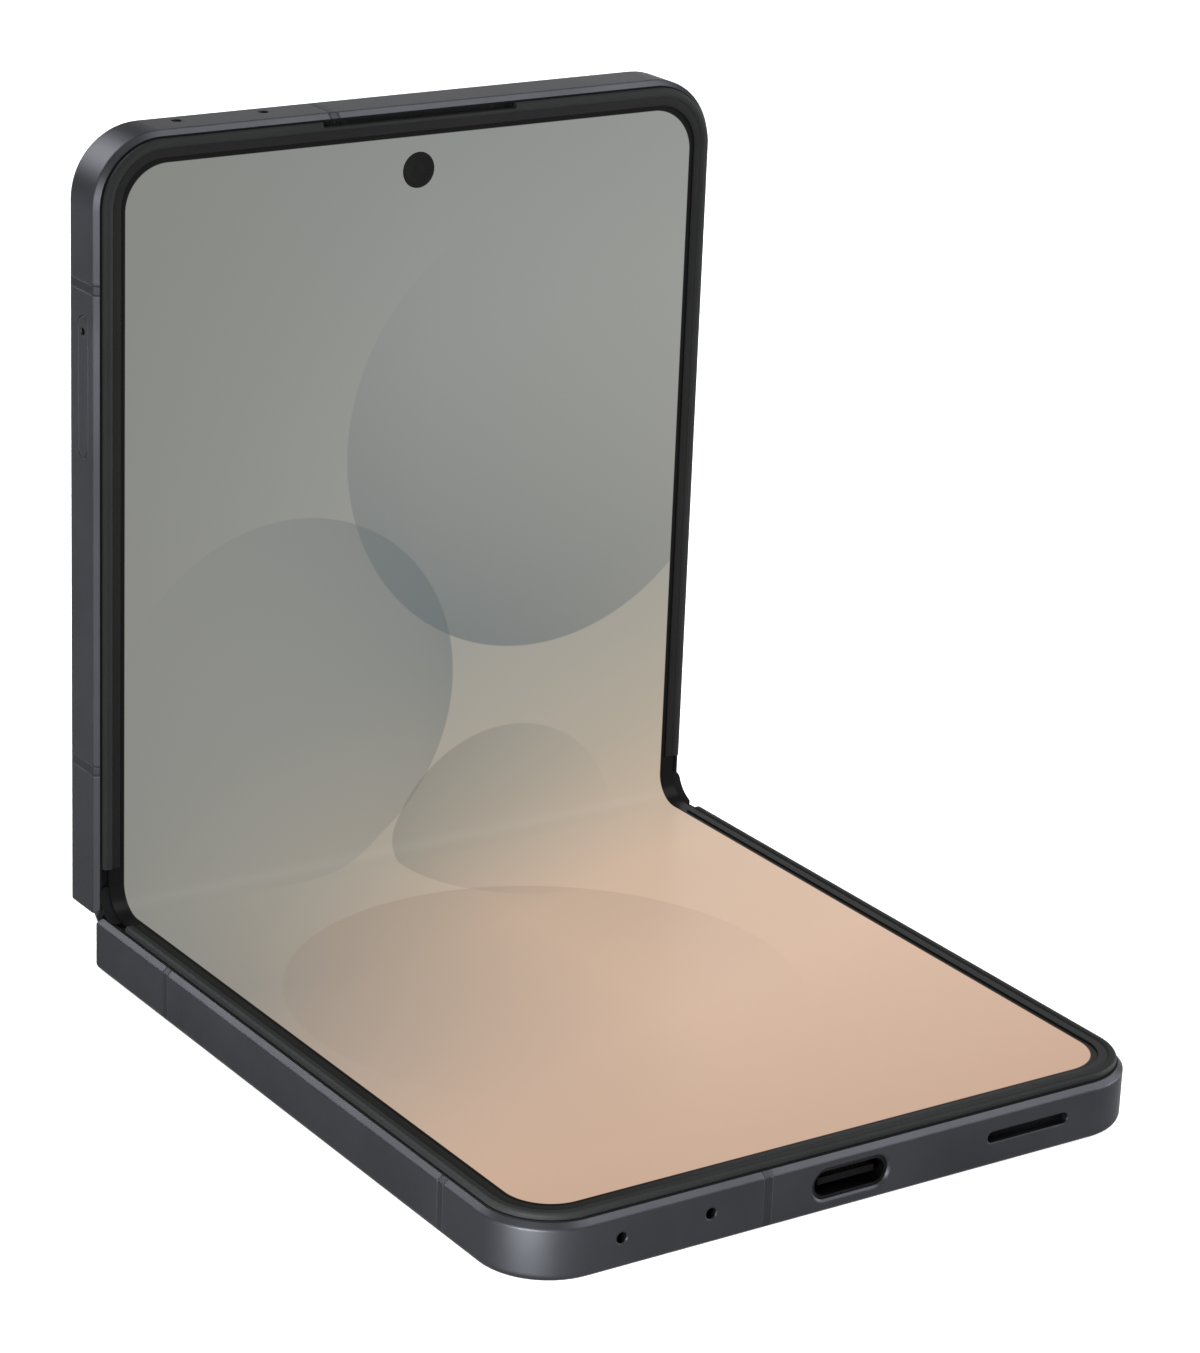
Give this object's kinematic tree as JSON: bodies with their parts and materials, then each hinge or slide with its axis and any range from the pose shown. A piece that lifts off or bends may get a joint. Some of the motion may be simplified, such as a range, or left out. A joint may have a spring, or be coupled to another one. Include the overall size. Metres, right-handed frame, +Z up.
{
  "type": "foldable smartphone",
  "caption": "Clamshell smartphone whose flexible screen folds over a geared hinge, half open with its upper half upright.",
  "frame": {"origin": "centre of the lower half's back face, which rests on the table", "axes": "+Z is up, away from the table. -Y points to the lower half's free end with the charging socket, and the upper half stands at +Y with its screen facing -Y. +X is to the right of someone who looks at the upper screen."},
  "size_m": [0.0755, 0.0915, 0.0903],
  "materials": {
    "frame_metal": "dark graphite anodised metal, satin, with a fine blasted grain",
    "antenna_plastic": "moulded plastic, matt, in the frame's colour",
    "bezel_plastic": "soft dark grey plastic, satin, black towards the screen",
    "screen": "flexible display under a clear protective film, glossy, lit wallpaper",
    "back_glass": "tinted glass, gloss",
    "steel": "stamped or turned stainless steel, bare",
    "gear_brass": "cut brass, bare",
    "battery_foil": "foil pouch under dark film, matt",
    "board": "printed circuit board with solder mask",
    "copper": "wound copper wire, lacquered",
    "ferrite": "thin ferrite sheet, matt",
    "magnet": "nickel-plated magnet",
    "black_plastic": "black moulded plastic, matt",
    "microphone_can": "small plated metal can",
    "polyimide": "amber polyimide ribbon",
    "lens_glass": "dark coated lens glass",
    "cover_display": "small display behind the cover glass, off",
    "flash_plastic": "clear moulded lens over the lamp"
  },
  "bodies": {
    "lower_half": {"lower_frame": "frame_metal", "lower_antenna_bands": "antenna_plastic", "lower_bezel": "bezel_plastic", "lower_screen_plate": "steel", "lower_screen": "screen", "lower_wing_plate": "steel", "lower_back_glass": "back_glass", "lower_battery": "battery_foil", "lower_hinge_arms": "steel", "lower_arm_screws": "steel", "sub_board": "board", "sub_board_screws": "steel", "usb_socket": "steel", "usb_tongue": "black_plastic", "loudspeaker": "black_plastic", "speaker_mesh": "steel", "bottom_microphones": "microphone_can", "vibration_motor": "steel", "charging_coil": "copper", "coil_shield": "ferrite", "lower_magnets": "magnet"},
    "hinge_spine": {"hinge_cover": "frame_metal", "hinge_brackets": "steel", "hinge_shafts": "steel", "hinge_disc_springs": "steel", "hinge_end_caps": "black_plastic", "fold_screen": "screen", "hinge_ribbon": "polyimide"},
    "lower_idlers": {"lower_idler_gears": "gear_brass"},
    "upper_idlers": {"upper_idler_gears": "gear_brass"},
    "upper_half": {"upper_frame": "frame_metal", "upper_antenna_bands": "antenna_plastic", "upper_bezel": "bezel_plastic", "upper_screen_plate": "steel", "upper_screen": "screen", "upper_wing_plate": "steel", "upper_hinge_arms": "steel", "upper_arm_screws": "steel", "cover_glass": "back_glass", "cover_screen": "cover_display", "camera_rings": "frame_metal", "camera_lenses": "lens_glass", "camera_modules": "black_plastic", "flash_lens": "flash_plastic", "front_camera": "black_plastic", "earpiece": "black_plastic", "earpiece_mesh": "steel", "top_microphones": "microphone_can", "main_board": "board", "main_board_screws": "steel", "board_shield": "steel", "upper_battery": "battery_foil", "card_reader": "steel", "key_switches": "steel", "upper_magnets": "magnet"},
    "side_key": {"side_key": "frame_metal"},
    "volume_key": {"volume_key": "frame_metal"},
    "sim_tray": {"sim_tray": "frame_metal"}
  },
  "joints": [
    {"name": "spine_turn", "type": "hinge", "parent": "lower_half", "child": "hinge_spine", "pos_m": [0, 0.04057, 0.0049], "axis": [1, 0, 0], "range_deg": [-45, 45], "deforming": ["fold_screen", "hinge_ribbon"]},
    {"name": "upper_fold", "type": "hinge", "parent": "hinge_spine", "child": "upper_half", "pos_m": [0, 0.04333, 0.00766], "axis": [1, 0, 0], "range_deg": [-45, 45]},
    {"name": "lower_idler_turn", "type": "hinge", "parent": "hinge_spine", "child": "lower_idlers", "pos_m": [0, 0.04245, 0.00421], "axis": [1, 0, 0], "range_deg": [-37, 37]},
    {"name": "upper_idler_turn", "type": "hinge", "parent": "hinge_spine", "child": "upper_idlers", "pos_m": [0, 0.04402, 0.00578], "axis": [1, 0, 0], "range_deg": [-37, 37]},
    {"name": "side_key_press", "type": "slide", "parent": "upper_half", "child": "side_key", "axis": [-1, 0, 0], "range_m": [0, 0.00025], "stiffness_N_per_m": 4000},
    {"name": "volume_rock", "type": "hinge", "parent": "upper_half", "child": "volume_key", "pos_m": [0.0351, 0.04503, 0.06371], "axis": [0, 1, 0], "range_deg": [-1.2, 1.2], "stiffness_Nm_per_rad": 0.6},
    {"name": "sim_slide", "type": "slide", "parent": "upper_half", "child": "sim_tray", "axis": [-1, 0, 0], "range_m": [0, 0.016]}
  ],
  "couplings": [
    {"joint": "upper_fold", "follows": "spine_turn", "ratio": 1},
    {"joint": "lower_idler_turn", "follows": "spine_turn", "ratio": 0.81818},
    {"joint": "upper_idler_turn", "follows": "spine_turn", "ratio": -0.81818}
  ]
}
